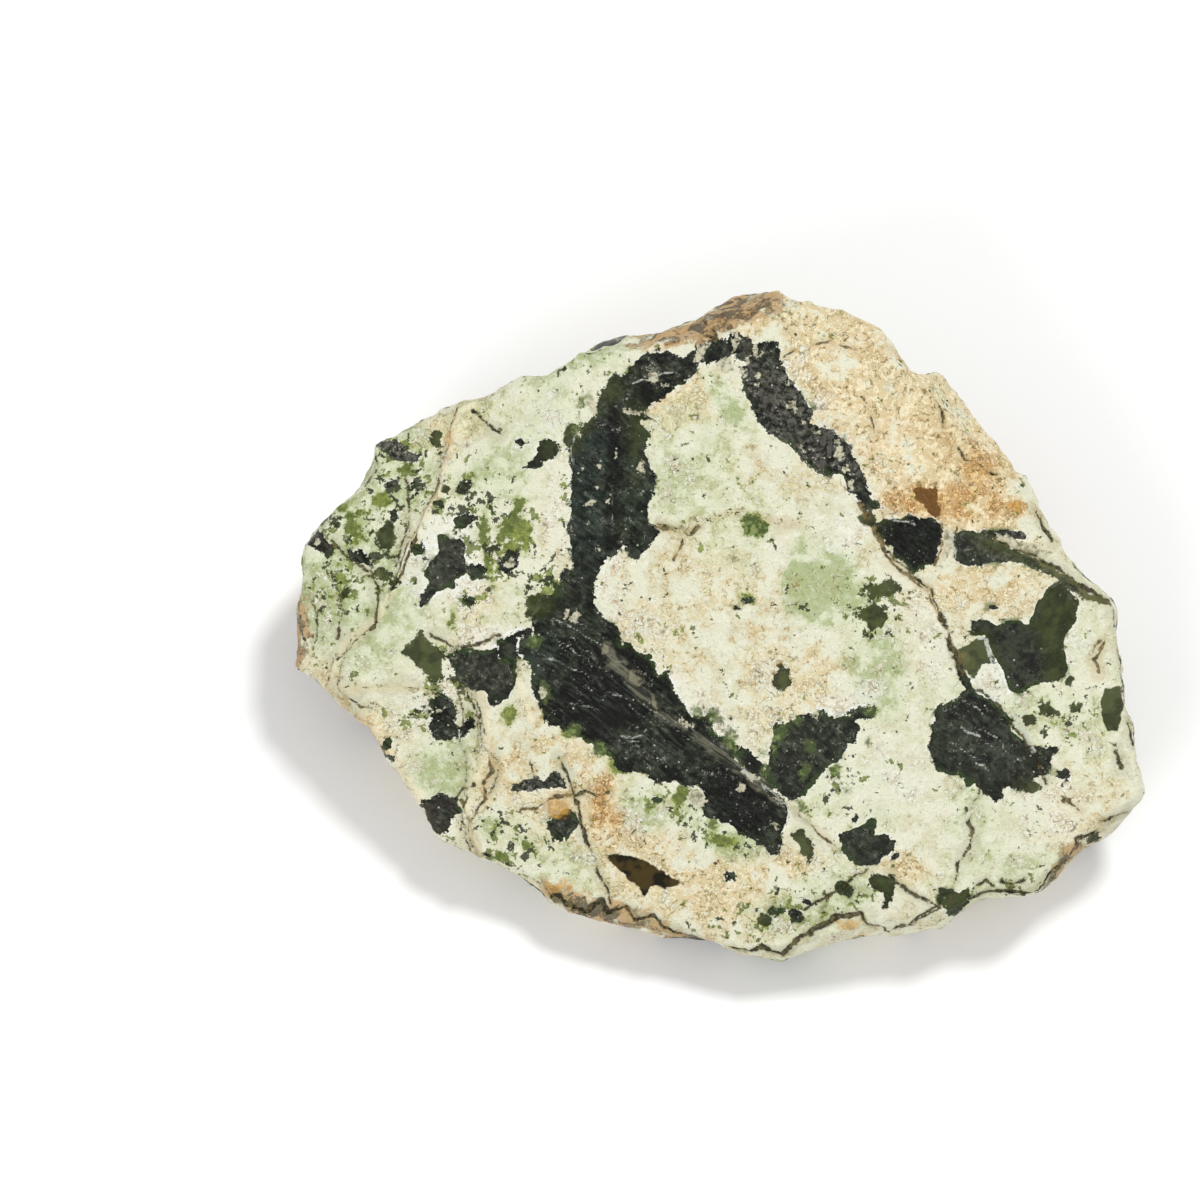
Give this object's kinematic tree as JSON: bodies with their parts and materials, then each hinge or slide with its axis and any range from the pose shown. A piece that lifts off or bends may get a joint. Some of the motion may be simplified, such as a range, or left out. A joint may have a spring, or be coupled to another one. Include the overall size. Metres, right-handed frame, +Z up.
{
  "type": "raw chalcedony stone",
  "caption": "Rough slab-like stone with a broad slanting face, broken flanks, undercut sides and a flat resting base",
  "frame": {"origin": "centre of the bounding box in plan, on the plane of the flat resting base", "axes": "+X runs along the stone's length, from the left tip to the right corner; +Y runs from the low front edge to the high back edge; +Z is up from the resting base"},
  "size_m": [0.16, 0.1234, 0.0484],
  "materials": {
    "chalcedony": "mint and cream stone with dark green-black veins, waxy on the veins and dry elsewhere"
  },
  "bodies": {
    "root": {"chalcedony_stone": "chalcedony"}
  },
  "joints": []
}
